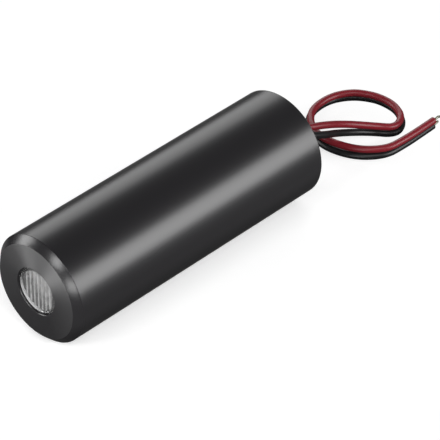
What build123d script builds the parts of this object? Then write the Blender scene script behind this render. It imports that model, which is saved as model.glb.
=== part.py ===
"""Line-projecting laser diode module.

A turned barrel lies on its side. Its aperture holds a ribbed line lens, and behind that lie the
collimator, the laser diode in its brass block, the driver board and a rear cap with a lead grommet.
Two flying leads leave the back, come down to the table, make one loop and end stripped and tinned.

The origin is on the optical axis at the middle of the barrel, +X points out of the aperture, +Z is
up, and the table is one barrel radius below the axis. All sizes are in millimetres.
"""
import os
from math import radians, sqrt, tan

from build123d import *

os.makedirs("parts", exist_ok=True)

# General allowances
overrun = 1.0           # how far a cut runs past the face it leaves
press_gap = 0.02        # radial gap of pieces pressed or bonded into each other
slip_gap = 0.06         # radial gap of pieces that slide or screw into each other

# Barrel
barrel_d = 20.0
barrel_length = 58.5
barrel_wall = 1.5
front_chamfer = 1.25    # as wide along the axis as across it
back_edge = 0.2         # broken edge at the back rim
mouth_chamfer = 0.35    # lead-in of the rear bore
front_wall = 5.2        # from the front face to the shoulder that the optics block seats on

# Line lens in the aperture
aperture_d = 8.6
lens_recess = 0.5       # front face of the lens below the barrel's front face
lens_thickness = 2.6
lens_seat = 0.7         # width of the shoulder that the lens sits on
lens_rim_width = 0.45   # plain rim round the ribbed field
lens_bevel = 0.15
rib_pitch = 0.9
rib_height = 0.22

# Optics block and collimator
cell_d = 9.0
cell_length = 5.4
cell_floor = 1.2        # floor of the cell behind the lens
cell_seat = 0.6         # width of that floor round its clear hole
cell_slot_width = 1.2
cell_slot_depth = 0.8
cell_setback = 0.4      # front of the cell below the block's front face
spring_length = 3.2
spring_setback = 0.6    # from the cell's outside to the spring's
spring_wire = 0.5       # square wire, along its side
spring_turns = 3.5
web_thickness = 2.6     # wall between the cell's bore and the diode's seat
block_rear_lip = 0.5    # block behind the clamp ring
block_chamfer = 0.4
collimator_d = 6.33
collimator_flange = 1.1  # thickness of the flat flange round the dome
collimator_rim = 0.55   # width of the flange that shows round the dome
collimator_dome_rise = 1.0
retainer_thickness = 0.8
retainer_width = 0.45
retainer_slot_width = 0.8

# Laser diode package
header_d = 5.6
header_thickness = 1.2
header_notch = 0.4
header_notch_width = 0.9
header_seat = 0.35      # width of the ledge in the block that the header sits on
can_height = 2.3
can_wall = 0.15
can_brim_setback = 0.6  # from the header's edge to the brim's
can_brim_width = 0.425
can_brim_thickness = 0.25
can_window_d = 1.6
window_setback = 0.325  # from the can's inner wall to the glass
window_thickness = 0.25
post_width = 1.4
post_length = 1.45
post_offset = 0.35      # face of the post from the axis
post_gap = 0.32         # from the post's round back to the can
submount_length = 0.8
submount_width = 0.6
submount_thickness = 0.2
chip_length = 0.4
chip_width = 0.25
chip_thickness = 0.12
photodiode_width = 0.6
photodiode_thickness = 0.2
pin_d = 0.45
pin_can_gap = 0.4       # from the pins to the can's inner wall
pin_length = 6.5        # behind the header
pin_stub = 0.5          # in front of the header
seal_d = 1.0
clamp_ring_d = 8.0
clamp_ring_width = 1.8
clamp_ring_thickness = 1.8
clamp_slot_width = 1.0
clamp_slot_depth = 0.7

# Driver board
solder_film = 0.025     # between a pin and the board's face
board_gap = 1.0         # from the block to the board's front edge
board_edge_gap = 0.12   # from the board's long edges to the bore
board_corner = 0.8

# Moulded packages on the board, which stand on gull-wing legs
driver_chip_length = 4.9
driver_chip_width = 3.9
driver_chip_height = 1.45
driver_chip_leg_pitch = 1.27
driver_chip_leg_counts = (4, 4)
transistor_length = 2.9
transistor_width = 1.4
transistor_height = 1.0
transistor_leg_pitch = 1.9
transistor_leg_counts = (2, 1)
package_standoff = 0.1
package_draft = 0.15    # how far each side of a moulded body leans in
leg_width = 0.4
leg_thickness = 0.18
leg_foot = 0.6
leg_span = 1.05         # from the body's side to the foot's tip
leg_height_share = 0.45  # height of the legs' roots on the body

# Parts with a metal cap at each end
tantalum_length = 3.5
tantalum_width = 2.8
tantalum_height = 1.9
ceramic_length = 2.0
ceramic_width = 1.25
ceramic_height = 1.0
resistor_length = 1.6
resistor_width = 0.8
resistor_height = 0.45
protection_length = 2.7
protection_width = 1.6
protection_height = 1.1
end_cap_share = 0.2     # of the part's length
end_cap_proud = 0.05

# Places on the board, along it from its rear edge and to each side of its middle
driver_chip_shares = [(0.455, 0.0)]
transistor_shares = [(0.67, 0.35)]
tantalum_shares = [(0.264, 0.38)]
ceramic_shares = [(0.258, -0.14), (0.67, -0.41)]
resistor_shares = [(0.79, 0.43), (0.79, 0.62), (0.564, -0.56), (0.47, -0.56)]
protection_shares = [(0.258, -0.53)]

# Solder mounds over the pins and the stripped lead ends
mound_width = 1.1
mound_height = 0.62
pin_mound_gap = 0.3     # bare pin in front of the mound
tail_mound_length = 2.6

# Rear cap and grommet
cap_recess = 0.7        # outer face below the barrel's back rim
cap_wall = 2.0
cap_skirt_length = 4.5
cap_skirt_wall = 1.6
cap_chamfer = 0.3
board_slot_depth = 2.0
board_slot_gap = 0.1
grommet_neck_d = 5.2
grommet_flange_width = 0.9
grommet_flange_thickness = 0.6
grommet_lip_width = 0.4
grommet_lip_thickness = 0.5
grommet_edge = 0.2

# Leads
lead_d = 1.35
lead_spacing = 2.0      # between the two holes of the grommet
lead_gap = 0.04         # radial gap in the grommet
lead_inner_reach = 0.8  # insulation that stands out of the grommet inside the cap
stack_gap = 0.125       # between the leads where one lies on the other
core_d = 0.48
tail_length = 4.8       # stripped inner end, from the insulation to its tip on the board
tip_straight = 0.3      # how far each outer tip goes straight on from its insulation
tip_bend_share = 0.5    # where it bends, along its length
red_tip_length = 2.8
red_tip_bend_rise = 0.2  # height of the bend above the lead's centre line
red_tip_end_drop = 0.25
black_tip_length = 1.6
black_tip_bend_rise = 0.05
black_tip_end_rise = 0.2

# Places along the optical axis, from the front to the back
front_x = barrel_length / 2
back_x = -barrel_length / 2
lens_front_x = front_x - lens_recess
lens_back_x = lens_front_x - lens_thickness
shoulder_x = front_x - front_wall
cell_front_x = shoulder_x - cell_setback
cell_back_x = cell_front_x - cell_length
cell_bore_floor_x = cell_back_x - spring_length
header_front_x = cell_bore_floor_x - web_thickness
header_back_x = header_front_x - header_thickness
clamp_back_x = header_back_x - clamp_ring_thickness
block_back_x = clamp_back_x - block_rear_lip
board_front_x = block_back_x - board_gap
cap_back_x = back_x + cap_recess
cap_wall_x = cap_back_x + cap_wall
cap_front_x = cap_wall_x + cap_skirt_length
board_back_x = cap_front_x - board_slot_depth
pin_back_x = header_back_x - pin_length
grommet_back_x = cap_back_x - grommet_flange_thickness
grommet_front_x = cap_wall_x + grommet_lip_thickness
tail_back_x = grommet_front_x + lead_inner_reach
tail_front_x = tail_back_x + tail_length
table_z = -barrel_d / 2

# Radii about the optical axis
barrel_r = barrel_d / 2
bore_r = barrel_r - barrel_wall
lens_shoulder_r = aperture_d / 2 - lens_seat
can_brim_r = header_d / 2 - can_brim_setback
can_r = can_brim_r - can_brim_width
can_inner_r = can_r - can_wall
pin_r = pin_d / 2
pin_circle_r = can_inner_r - pin_can_gap - pin_r

# Board faces: two pins lie on the top and one under the bottom
board_top_z = -(pin_r + solder_film)
board_bottom_z = -(pin_circle_r - pin_r - solder_film)
board_thickness = board_top_z - board_bottom_z
board_half_width = sqrt(bore_r**2 - board_bottom_z**2) - board_edge_gap


def across(x):
    """Plane across the optical axis at x, seen from the front."""
    return Plane.YZ.offset(x)


def turned(points):
    """Add the solid turned about the optical axis from an outline of (x, radius) points."""
    with BuildSketch(Plane.XY) as outline:
        with BuildLine():
            Polyline(*points, close=True)
        make_face()
    revolve(outline.sketch, axis=Axis.X)


def spanner_slots(x, outer_d, width, depth):
    """Cut one slot right across a ring's face at x, going depth into it towards the back."""
    with BuildSketch(across(x)) as slot:
        Rectangle(outer_d + overrun, width)
    extrude(slot.sketch, amount=-depth, mode=Mode.SUBTRACT)


# Housing: one turned piece with its front wall, chamfer, aperture and lens pocket
with BuildPart() as housing:
    turned(
        [
            (front_x, aperture_d / 2),
            (front_x, barrel_r - front_chamfer),
            (front_x - front_chamfer, barrel_r),
            (back_x + back_edge, barrel_r),
            (back_x, barrel_r - back_edge),
            (back_x, bore_r + mouth_chamfer),
            (back_x + mouth_chamfer, bore_r),
            (shoulder_x, bore_r),
            (shoulder_x, lens_shoulder_r),
            (lens_back_x, lens_shoulder_r),
            (lens_back_x, aperture_d / 2),
        ]
    )

# Line lens: a disc whose front carries a field of upright cylindrical ribs inside a plain rim
lens_r = aperture_d / 2 - press_gap
rib_field_r = lens_r - lens_rim_width
rib_valley_x = lens_front_x - rib_height
rib_count = int(2 * rib_field_r / rib_pitch) + 1
with BuildPart() as line_lens:
    with BuildSketch(Plane.XY):
        with BuildLine():
            for rib in range(rib_count):
                rib_start = (rib - rib_count / 2) * rib_pitch
                ThreePointArc(
                    (rib_valley_x, rib_start),
                    (lens_front_x, rib_start + rib_pitch / 2),
                    (rib_valley_x, rib_start + rib_pitch),
                )
            field_edge = rib_count * rib_pitch / 2
            Polyline(
                (rib_valley_x, field_edge),
                (lens_back_x, field_edge),
                (lens_back_x, -field_edge),
                (rib_valley_x, -field_edge),
            )
        make_face()
    extrude(amount=lens_r, both=True)
    with BuildSketch(across(lens_back_x)):
        Circle(rib_field_r)
    extrude(amount=lens_thickness, mode=Mode.INTERSECT)
    turned(
        [
            (lens_front_x, rib_field_r),
            (lens_front_x, lens_r - lens_bevel),
            (lens_front_x - lens_bevel, lens_r),
            (lens_back_x + lens_bevel, lens_r),
            (lens_back_x, lens_r - lens_bevel),
            (lens_back_x, rib_field_r),
        ]
    )

# Optics block: turned brass, seated on the barrel's inner shoulder
block_r = bore_r - press_gap
cell_bore_r = cell_d / 2 + slip_gap
header_bore_r = header_d / 2 + press_gap
clamp_bore_r = clamp_ring_d / 2 + slip_gap
can_bore_r = header_d / 2 - header_seat
with BuildPart() as optics_block:
    turned(
        [
            (shoulder_x, cell_bore_r),
            (shoulder_x, block_r - block_chamfer),
            (shoulder_x - block_chamfer, block_r),
            (block_back_x + block_chamfer, block_r),
            (block_back_x, block_r - block_chamfer),
            (block_back_x, clamp_bore_r),
            (header_back_x, clamp_bore_r),
            (header_back_x, header_bore_r),
            (header_front_x, header_bore_r),
            (header_front_x, can_bore_r),
            (cell_bore_floor_x, can_bore_r),
            (cell_bore_floor_x, cell_bore_r),
        ]
    )

# Lens cell of the collimator, with a spanner slot across its front
cell_r = cell_d / 2
collimator_r = collimator_d / 2
collimator_bore_r = collimator_r + press_gap
collimator_seat_x = cell_back_x + cell_floor
cell_hole_r = collimator_r - cell_seat
with BuildPart() as lens_cell:
    turned(
        [
            (cell_front_x, collimator_bore_r),
            (cell_front_x, cell_r),
            (cell_back_x, cell_r),
            (cell_back_x, cell_hole_r),
            (collimator_seat_x, cell_hole_r),
            (collimator_seat_x, collimator_bore_r),
        ]
    )
    spanner_slots(cell_front_x, cell_d, cell_slot_width, cell_slot_depth)

# Collimating lens: a domed aspheric lens with a flat flange, seated on the cell's floor
flange_front_x = collimator_seat_x + collimator_flange
dome_r = collimator_r - collimator_rim
with BuildPart() as collimating_lens:
    with BuildSketch(Plane.XY):
        with BuildLine():
            Polyline(
                (flange_front_x + collimator_dome_rise, 0),
                (collimator_seat_x, 0),
                (collimator_seat_x, collimator_r),
                (flange_front_x, collimator_r),
                (flange_front_x, dome_r),
            )
            TangentArc(
                (flange_front_x + collimator_dome_rise, 0),
                (flange_front_x, dome_r),
                tangent=(0, 1),
            )
        make_face()
    revolve(axis=Axis.X)

# Slotted ring that clamps the collimating lens
with BuildPart() as lens_retaining_ring:
    with BuildSketch(across(flange_front_x)):
        Circle(collimator_r)
        Circle(collimator_r - retainer_width, mode=Mode.SUBTRACT)
    extrude(amount=retainer_thickness)
    spanner_slots(
        flange_front_x + retainer_thickness, collimator_d, retainer_slot_width, retainer_thickness / 2
    )

# Focus spring between the cell and the floor of its bore
spring_travel = spring_length - spring_wire
with BuildPart() as focus_spring:
    with BuildLine() as coil:
        Helix(
            pitch=spring_travel / spring_turns,
            height=spring_travel,
            radius=cell_r - spring_setback - spring_wire / 2,
            center=(cell_bore_floor_x + spring_wire / 2, 0, 0),
            direction=(1, 0, 0),
        )
    with BuildSketch(Plane(coil.line @ 0, x_dir=(1, 0, 0), z_dir=coil.line % 0)):
        Rectangle(spring_wire, spring_wire)
    sweep(is_frenet=True)

# Diode header with side notches and the heat-sink post that carries the laser chip
seal_r = seal_d / 2
post_back_r = can_inner_r - post_gap
with BuildPart() as diode_header:
    with BuildSketch(across(header_back_x)):
        Circle(header_d / 2)
        with Locations((header_d / 2, 0), (-header_d / 2, 0)):
            Rectangle(2 * header_notch, header_notch_width, mode=Mode.SUBTRACT)
        with Locations((pin_circle_r, 0), (-pin_circle_r, 0)):
            Circle(seal_r, mode=Mode.SUBTRACT)
    extrude(amount=header_thickness)
    with BuildSketch(across(header_front_x)):
        Circle(post_back_r)
        with Locations((0, post_offset)):
            Rectangle(post_width, post_back_r, align=(Align.CENTER, Align.MIN), mode=Mode.INTERSECT)
    extrude(amount=post_length)

# Glass seals round the two insulated pins
with BuildPart() as pin_seals:
    with BuildSketch(across(header_back_x)):
        with Locations((pin_circle_r, 0), (-pin_circle_r, 0)):
            Circle(seal_r)
            Circle(pin_r, mode=Mode.SUBTRACT)
    extrude(amount=header_thickness)

# Three pins: two through the seals, and the case pin welded to the header's back
with BuildPart() as diode_pins:
    with BuildSketch(across(pin_back_x)):
        with Locations((pin_circle_r, 0), (-pin_circle_r, 0)):
            Circle(pin_r)
    extrude(amount=pin_length + header_thickness + pin_stub)
    with BuildSketch(across(pin_back_x)):
        with Locations((0, -pin_circle_r)):
            Circle(pin_r)
    extrude(amount=pin_length)

# Can with its brim and window hole
can_top_x = header_front_x + can_height
with BuildPart() as diode_can:
    turned(
        [
            (header_front_x, can_inner_r),
            (header_front_x, can_brim_r),
            (header_front_x + can_brim_thickness, can_brim_r),
            (header_front_x + can_brim_thickness, can_r),
            (can_top_x, can_r),
            (can_top_x, can_window_d / 2),
            (can_top_x - can_wall, can_window_d / 2),
            (can_top_x - can_wall, can_inner_r),
        ]
    )

with BuildPart() as diode_window:
    with BuildSketch(across(can_top_x - can_wall)):
        Circle(can_inner_r - window_setback)
    extrude(amount=-window_thickness)

# Dies: the laser chip on its submount, under the post, and the photodiode behind it on the header
submount_front_x = header_front_x + post_length
submount_centre_x = submount_front_x - submount_length / 2
with BuildPart() as chip_submount:
    with BuildSketch(Plane.XY.offset(post_offset)):
        with Locations((submount_centre_x, 0)):
            Rectangle(submount_length, submount_width)
    extrude(amount=-submount_thickness)

with BuildPart() as laser_chip:
    with BuildSketch(Plane.XY.offset(post_offset - submount_thickness)):
        with Locations((submount_front_x - chip_length / 2, 0)):
            Rectangle(chip_length, chip_width)
    extrude(amount=-chip_thickness)

with BuildPart() as monitor_photodiode:
    with BuildSketch(across(header_front_x)):
        with Locations((0, -photodiode_width / 2)):
            Rectangle(photodiode_width, photodiode_width)
    extrude(amount=photodiode_thickness)

# Ring that presses the header into its seat
with BuildPart() as diode_clamp_ring:
    with BuildSketch(across(clamp_back_x)):
        Circle(clamp_ring_d / 2)
        Circle(clamp_ring_d / 2 - clamp_ring_width, mode=Mode.SUBTRACT)
    extrude(amount=clamp_ring_thickness)
    spanner_slots(
        clamp_back_x + clamp_slot_depth, clamp_ring_d, clamp_slot_width, clamp_slot_depth + overrun
    )

# Driver board
with BuildPart() as driver_board:
    with BuildSketch(Plane.XY.offset(board_bottom_z)):
        with Locations((board_front_x, 0)):
            Rectangle(
                board_front_x - board_back_x, 2 * board_half_width, align=(Align.MAX, Align.CENTER)
            )
    extrude(amount=board_thickness)
    fillet(driver_board.edges().filter_by(Axis.Z), board_corner)

# Packages and small parts on top of the board
board_length = board_front_x - board_back_x


def on_board(shares):
    """Places of parts on the board, from their shares of its length and half width."""
    return [
        (board_back_x + along_share * board_length, across_share * board_half_width)
        for along_share, across_share in shares
    ]


def moulded_package(length, width, height, leg_counts, leg_pitch, shares):
    """Add a moulded body that stands on gull-wing legs, so many along each of its long sides."""
    centre_x, centre_y = on_board(shares)[0]
    base_z = board_top_z + package_standoff
    with BuildSketch(Plane.XY.offset(base_z)) as bottom:
        with Locations((centre_x, centre_y)):
            Rectangle(length, width)
    with BuildSketch(Plane.XY.offset(base_z + height)) as top:
        with Locations((centre_x, centre_y)):
            Rectangle(length - 2 * package_draft, width - 2 * package_draft)
    loft([bottom.sketch, top.sketch])
    leg_z = base_z + height * leg_height_share
    for side, leg_count in zip((-1, 1), leg_counts):
        side_y = centre_y + side * width / 2
        root_y = side_y - side * leg_foot
        knee_y = side_y + side * (leg_span - leg_foot)
        foot_y = side_y + side * leg_span
        for leg in range(leg_count):
            leg_x = centre_x + (leg - (leg_count - 1) / 2) * leg_pitch
            with BuildSketch(across(leg_x - leg_width / 2)) as leg_side:
                with BuildLine():
                    Polyline(
                        (root_y, leg_z),
                        (knee_y, leg_z),
                        (knee_y, board_top_z + leg_thickness),
                        (foot_y, board_top_z + leg_thickness),
                        (foot_y, board_top_z),
                        (knee_y - side * leg_thickness, board_top_z),
                        (knee_y - side * leg_thickness, leg_z - leg_thickness),
                        (root_y, leg_z - leg_thickness),
                        close=True,
                    )
                make_face()
            extrude(leg_side.sketch, amount=leg_width)


with BuildPart() as driver_chip:
    moulded_package(
        driver_chip_length,
        driver_chip_width,
        driver_chip_height,
        driver_chip_leg_counts,
        driver_chip_leg_pitch,
        driver_chip_shares,
    )

with BuildPart() as pass_transistor:
    moulded_package(
        transistor_length,
        transistor_width,
        transistor_height,
        transistor_leg_counts,
        transistor_leg_pitch,
        transistor_shares,
    )


def end_capped_parts(length, width, height, shares):
    """Add blocks that lie along the board, each with a slightly proud metal cap at both ends."""
    places = on_board(shares)
    with BuildSketch(Plane.XY.offset(board_top_z)) as bodies:
        with Locations(*places):
            Rectangle(length, width)
    extrude(bodies.sketch, amount=height)
    cap_length = length * end_cap_share
    cap_reach = (length - cap_length) / 2
    cap_places = [(x + end * cap_reach, y) for x, y in places for end in (-1, 1)]
    with BuildSketch(Plane.XY.offset(board_top_z)) as caps:
        with Locations(*cap_places):
            Rectangle(cap_length, width + 2 * end_cap_proud)
    extrude(caps.sketch, amount=height + end_cap_proud)


with BuildPart() as tantalum_capacitor:
    end_capped_parts(tantalum_length, tantalum_width, tantalum_height, tantalum_shares)

with BuildPart() as ceramic_capacitors:
    end_capped_parts(ceramic_length, ceramic_width, ceramic_height, ceramic_shares)

with BuildPart() as resistors:
    end_capped_parts(resistor_length, resistor_width, resistor_height, resistor_shares)

with BuildPart() as protection_diode:
    end_capped_parts(protection_length, protection_width, protection_height, protection_shares)

# Solder: a long mound over each pin and each stripped lead end
core_r = core_d / 2
lead_y = lead_spacing / 2
tail_mound_x = tail_front_x - tail_mound_length


def solder_mound(x_start, length, y, face_z, up, wire_r, wire_z):
    """Add one mound on a board face, with the wire's own room left free in it."""
    with BuildSketch(across(x_start)) as mound:
        with BuildLine():
            ThreePointArc(
                (y - mound_width / 2, face_z),
                (y, face_z + up * mound_height),
                (y + mound_width / 2, face_z),
            )
            Line((y + mound_width / 2, face_z), (y - mound_width / 2, face_z))
        make_face()
    extrude(mound.sketch, amount=length)
    with BuildSketch(across(x_start)) as wire:
        with Locations((y, wire_z)):
            Circle(wire_r)
    extrude(wire.sketch, amount=length, mode=Mode.SUBTRACT)


pin_mound_length = board_front_x - pin_back_x - pin_mound_gap
with BuildPart() as pin_solder_joints:
    for side in (-1, 1):
        solder_mound(pin_back_x, pin_mound_length, side * pin_circle_r, board_top_z, 1, pin_r, 0)
    solder_mound(pin_back_x, pin_mound_length, 0, board_bottom_z, -1, pin_r, -pin_circle_r)

with BuildPart() as lead_solder_joints:
    for side in (-1, 1):
        solder_mound(tail_mound_x, tail_mound_length, side * lead_y, board_top_z, 1, core_r, 0)

# Rear cap: a turned plug with a skirt, slotted for the board's rear edge
cap_r = bore_r - press_gap
with BuildPart() as rear_cap:
    turned(
        [
            (cap_back_x, grommet_neck_d / 2),
            (cap_back_x, cap_r - cap_chamfer),
            (cap_back_x + cap_chamfer, cap_r),
            (cap_front_x, cap_r),
            (cap_front_x, cap_r - cap_skirt_wall),
            (cap_wall_x, cap_r - cap_skirt_wall),
            (cap_wall_x, grommet_neck_d / 2),
        ]
    )
    with BuildSketch(across(board_back_x - board_slot_gap)):
        with Locations((0, (board_top_z + board_bottom_z) / 2)):
            Rectangle(2 * bore_r + overrun, board_thickness + 2 * board_slot_gap)
    extrude(amount=board_slot_depth + board_slot_gap + overrun, mode=Mode.SUBTRACT)

# Lead grommet, snapped into the cap, with a hole for each lead
grommet_neck_r = grommet_neck_d / 2
grommet_flange_r = grommet_neck_r + grommet_flange_width
with BuildPart() as lead_grommet:
    turned(
        [
            (grommet_back_x, 0),
            (grommet_back_x, grommet_flange_r - grommet_edge),
            (grommet_back_x + grommet_edge, grommet_flange_r),
            (cap_back_x, grommet_flange_r),
            (cap_back_x, grommet_neck_r - press_gap),
            (cap_wall_x, grommet_neck_r - press_gap),
            (cap_wall_x, grommet_neck_r + grommet_lip_width),
            (grommet_front_x, grommet_neck_r),
            (grommet_front_x, 0),
        ]
    )
    with BuildSketch(across(grommet_back_x)):
        with Locations((-lead_y, 0), (lead_y, 0)):
            Circle(lead_d / 2 + lead_gap)
    extrude(amount=grommet_front_x - grommet_back_x, mode=Mode.SUBTRACT)

# Routes of the leads' centre lines, from inside the grommet to the cut end of the insulation. The
# black lead lies on the table, and the red one on top of it, because a pair bends most easily that way.
lying_z = table_z + lead_d / 2
stacked_z = lying_z + lead_d + stack_gap
red_route = [
    (tail_back_x, -lead_y, 0.0),
    (-32.75, -lead_y, 0.0),
    (-40.1, 0.1, -1.9),
    (-46.5, 0.2, -4.9),
    (-52.1, 2.55, -7.1),
    (-55.05, 4.7, stacked_z),
    (-58.35, 3.4, stacked_z),
    (-60.1, 0.2, stacked_z),
    (-60.35, -2.6, stacked_z),
    (-59.8, -5.4, stacked_z),
    (-57.8, -8.7, stacked_z),
    (-53.5, -10.65, stacked_z),
    (-47.35, -9.85, stacked_z),
    (-43.05, -4.1, stacked_z),
    (-44.5, 3.55, stacked_z),
    (-48.8, 7.95, stacked_z),
    (-53.65, 8.3, stacked_z),
    (-57.8, 8.3, stacked_z),
    (-61.55, 8.2, stacked_z),
]
black_route = [
    (tail_back_x, lead_y, 0.0),
    (-32.6, lead_y, 0.0),
    (-38.9, 1.7, -2.7),
    (-44.6, 0.15, -5.9),
    (-51.55, 1.35, -8.7),
    (-55.05, 4.8, lying_z),
    (-58.4, 3.7, lying_z),
    (-60.6, 0.65, lying_z),
    (-61.1, -2.35, lying_z),
    (-60.7, -5.5, lying_z),
    (-58.3, -9.25, lying_z),
    (-53.55, -11.55, lying_z),
    (-47.25, -10.35, lying_z),
    (-43.0, -3.8, lying_z),
    (-44.2, 3.4, lying_z),
    (-48.6, 7.75, lying_z),
    (-53.65, 8.05, lying_z),
    (-57.9, 8.0, lying_z),
    (-61.8, 7.85, lying_z),
]
tangent_share = 0.45    # part of the shorter run that each arc takes up


def corner_radii(route):
    """Largest radius that each corner's two runs leave room for."""
    points = [Vector(*point) for point in route]
    radii = []
    for before, corner, after in zip(points, points[1:], points[2:]):
        turn = (corner - before).get_angle(after - corner)
        shorter = min((corner - before).length, (after - corner).length)
        radii.append(tangent_share * shorter / tan(radians(turn / 2)))
    return radii


def lead_tube(route, diameter):
    """Add a round tube along a route of straight runs joined by tangent arcs."""
    with BuildLine() as path:
        FilletPolyline(*route, radius=corner_radii(route))
    with BuildSketch(Plane(path.line @ 0, z_dir=path.line % 0)) as section:
        Circle(diameter / 2)
    sweep(section.sketch, path=path.line)


with BuildPart() as red_lead:
    lead_tube(red_route, lead_d)

with BuildPart() as black_lead:
    lead_tube(black_route, lead_d)

for colour, route in (("red", red_route), ("black", black_route)):
    print(colour, "lead radii:", [round(radius, 2) for radius in corner_radii(route)])

# Stripped inner ends, lying on the board
with BuildPart() as red_solder_tail:
    with BuildSketch(across(tail_back_x)):
        with Locations((-lead_y, 0)):
            Circle(core_r)
    extrude(amount=tail_length)

with BuildPart() as black_solder_tail:
    with BuildSketch(across(tail_back_x)):
        with Locations((lead_y, 0)):
            Circle(core_r)
    extrude(amount=tail_length)


def tinned_tip(route, length, bend_rise, end_rise):
    """Add the stripped end of a lead, which goes on from its insulation and is bent once."""
    last = Vector(*route[-1])
    onward = (last - Vector(*route[-2])).normalized()
    straight_end = last + onward * tip_straight
    bend = last + onward * length * tip_bend_share + Vector(0, 0, bend_rise)
    tip = last + onward * length + Vector(0, 0, end_rise)
    lead_tube([last, straight_end, bend, tip], core_d)


with BuildPart() as red_lead_tip:
    tinned_tip(red_route, red_tip_length, red_tip_bend_rise, -red_tip_end_drop)

with BuildPart() as black_lead_tip:
    tinned_tip(black_route, black_tip_length, black_tip_bend_rise, black_tip_end_rise)

pieces = {
    "housing": housing,
    "line_lens": line_lens,
    "optics_block": optics_block,
    "lens_cell": lens_cell,
    "collimating_lens": collimating_lens,
    "lens_retaining_ring": lens_retaining_ring,
    "focus_spring": focus_spring,
    "diode_header": diode_header,
    "pin_seals": pin_seals,
    "diode_pins": diode_pins,
    "diode_can": diode_can,
    "diode_window": diode_window,
    "chip_submount": chip_submount,
    "laser_chip": laser_chip,
    "monitor_photodiode": monitor_photodiode,
    "diode_clamp_ring": diode_clamp_ring,
    "driver_board": driver_board,
    "driver_chip": driver_chip,
    "pass_transistor": pass_transistor,
    "tantalum_capacitor": tantalum_capacitor,
    "ceramic_capacitors": ceramic_capacitors,
    "resistors": resistors,
    "protection_diode": protection_diode,
    "pin_solder_joints": pin_solder_joints,
    "lead_solder_joints": lead_solder_joints,
    "rear_cap": rear_cap,
    "lead_grommet": lead_grommet,
    "red_lead": red_lead,
    "black_lead": black_lead,
    "red_solder_tail": red_solder_tail,
    "black_solder_tail": black_solder_tail,
    "red_lead_tip": red_lead_tip,
    "black_lead_tip": black_lead_tip,
}
for name, piece in pieces.items():
    piece.part.label = name
    export_step(piece.part, f"parts/{name}.step")
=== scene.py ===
"""Line-projecting laser diode module, laid on a white table with its two flying leads in a loop.

An add-on with one operator for each piece or group of pieces and one for the stage. The pieces stand
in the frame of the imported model: the origin is on the optical axis at the middle of the barrel, +X
points out of the aperture and +Z is up. Everything is in metres.
"""
from math import asin, cos, pi, radians, sin

import bmesh
import bpy
from bpy.props import FloatProperty, FloatVectorProperty, IntProperty, PointerProperty
from bpy.types import Operator, Panel, PropertyGroup
from mathutils import Matrix, Vector


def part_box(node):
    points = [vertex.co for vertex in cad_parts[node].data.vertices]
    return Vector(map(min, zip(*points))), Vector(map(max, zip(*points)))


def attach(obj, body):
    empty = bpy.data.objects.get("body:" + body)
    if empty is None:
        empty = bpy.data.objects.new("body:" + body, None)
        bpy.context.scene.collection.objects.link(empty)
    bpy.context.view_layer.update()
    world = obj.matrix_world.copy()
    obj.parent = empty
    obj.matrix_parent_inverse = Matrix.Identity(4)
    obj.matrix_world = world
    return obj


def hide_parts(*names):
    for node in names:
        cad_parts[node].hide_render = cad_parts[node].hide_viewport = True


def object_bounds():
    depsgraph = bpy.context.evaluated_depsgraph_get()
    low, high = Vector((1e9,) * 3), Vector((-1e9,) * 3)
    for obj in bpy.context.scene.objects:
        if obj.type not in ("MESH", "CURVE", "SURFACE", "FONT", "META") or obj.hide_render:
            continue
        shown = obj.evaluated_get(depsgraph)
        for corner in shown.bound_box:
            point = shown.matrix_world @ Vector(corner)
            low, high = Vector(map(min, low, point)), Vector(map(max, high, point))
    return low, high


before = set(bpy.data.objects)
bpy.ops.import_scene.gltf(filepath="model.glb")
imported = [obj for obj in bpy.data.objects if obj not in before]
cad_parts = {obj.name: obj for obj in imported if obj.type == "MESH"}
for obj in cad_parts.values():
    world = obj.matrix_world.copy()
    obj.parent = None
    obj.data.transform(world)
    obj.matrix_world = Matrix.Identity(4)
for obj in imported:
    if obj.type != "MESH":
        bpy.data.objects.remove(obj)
cad_low, cad_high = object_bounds()

bl_info = {
    "name": "Laser diode module",
    "version": (1, 0, 0),
    "blender": (4, 5, 0),
    "location": "3D View > Sidebar > Laser module",
    "description": "Builds a line-projecting laser diode module with its leads, and a white table",
    "category": "Object",
}

MM = 0.001

# Facets round the turned and moulded pieces
LENS_FACETS = 128
CAP_FACETS = 192
GROMMET_FACETS = 128
HOLE_FACETS = 50

# Angles between two faces from which their edge is rounded, and from which it is shaded sharp
ROUNDED_FROM = radians(25)
SHARP_FROM = radians(35)

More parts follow.
